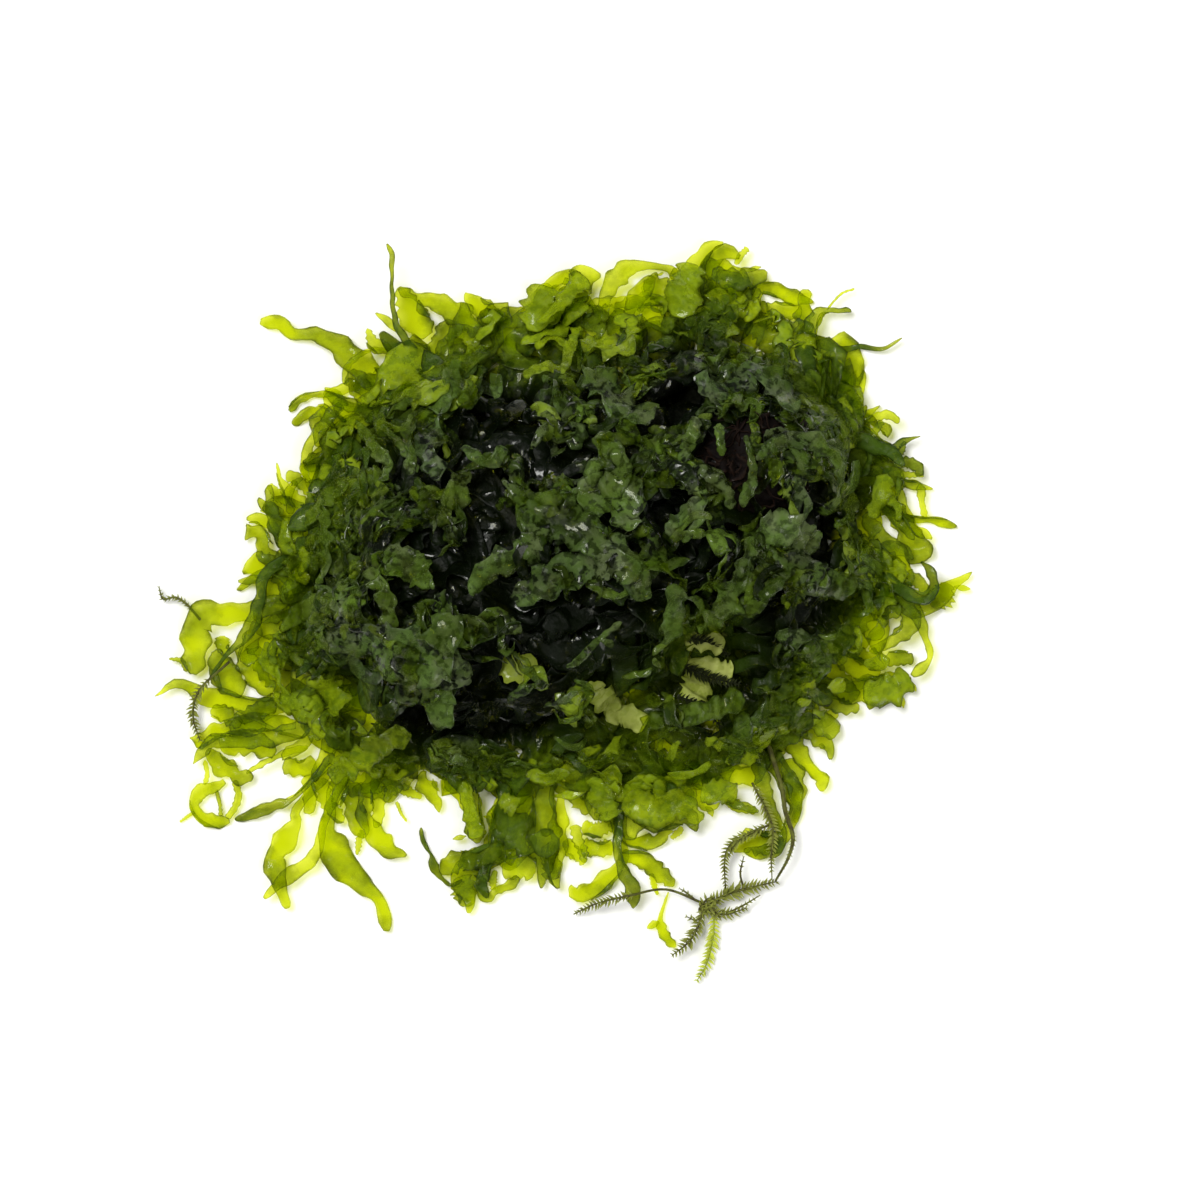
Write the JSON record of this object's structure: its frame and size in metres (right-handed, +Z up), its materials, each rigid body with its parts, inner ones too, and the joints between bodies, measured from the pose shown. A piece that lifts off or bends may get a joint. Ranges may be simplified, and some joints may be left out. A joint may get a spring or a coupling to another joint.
{
  "type": "subwassertang clump",
  "caption": "Loose wet clump of a ribbon-leaved aquarium fern with sprigs of moss in it, lying flat on a surface as a low tangled mound.",
  "frame": {"origin": "on the surface that the clump lies on, under the middle of its outline", "axes": "+Z up, out of the surface and towards the picture's camera; +X to the picture's right, along the clump's longest side; +Y to the picture's top"},
  "size_m": [0.0982, 0.0896, 0.0243],
  "materials": {
    "deep_green": "wet, deep green, see-through at its thin edges",
    "bright_green": "wet, bright yellow-green, see-through",
    "moss_green": "wet, dull olive, leafy",
    "old_brown": "wet, dark plum-brown, matted"
  },
  "bodies": {
    "root": {"matted_heart": "deep_green", "moss_arch": "moss_green", "moss_arm_west": "moss_green", "moss_shoot_east": "moss_green", "moss_stem_east": "moss_green", "moss_tip_bright": "moss_green", "moss_tip_dark": "moss_green", "old_brown_growth": "old_brown", "ribbon_e_broad": "bright_green", "ribbon_e_horn": "bright_green", "ribbon_e_loop": "bright_green", "ribbon_e_tip": "bright_green", "ribbon_ene_arm": "bright_green", "ribbon_ene_claw": "bright_green", "ribbon_ene_diagonal": "bright_green", "ribbon_ene_knee": "bright_green", "ribbon_ene_link": "bright_green", "ribbon_n_arch": "bright_green", "ribbon_n_broad": "bright_green", "ribbon_n_crown": "bright_green", "ribbon_n_crown_left": "bright_green", "ribbon_n_square": "bright_green", "ribbon_ne_crest": "bright_green", "ribbon_ne_prong": "bright_green", "ribbon_ne_tail": "bright_green", "ribbon_ne_twig": "bright_green", "ribbon_nw_finger_lower": "bright_green", "ribbon_nw_finger_upper": "bright_green", "ribbon_nw_long": "bright_green", "ribbon_nw_spike": "bright_green", "ribbon_s_cross": "bright_green", "ribbon_s_fork": "bright_green", "ribbon_s_leaf_upper": "bright_green", "ribbon_s_long": "bright_green", "ribbon_s_mid_arc": "bright_green", "ribbon_s_mid_left": "bright_green", "ribbon_s_prong": "bright_green", "ribbon_s_shelf": "bright_green", "ribbon_s_short": "bright_green", "ribbon_s_stalk": "bright_green", "ribbon_s_stick": "bright_green", "ribbon_s_tassel": "bright_green", "ribbon_s_thread": "bright_green", "ribbon_s_twist": "bright_green", "ribbon_se_curl": "bright_green", "ribbon_se_drop": "bright_green", "ribbon_se_left": "bright_green", "ribbon_sw_blade": "bright_green", "ribbon_sw_hook": "bright_green", "ribbon_w_broad": "bright_green", "ribbon_w_cross": "bright_green", "ribbon_w_lobe": "bright_green", "ribbon_w_lobe_upper": "bright_green", "ribbon_w_low": "bright_green", "ribbon_w_low_tip": "bright_green", "ribbon_w_tip": "bright_green", "ribbon_wnw_loop": "bright_green", "ribbon_wnw_spike": "bright_green"}
  },
  "joints": []
}
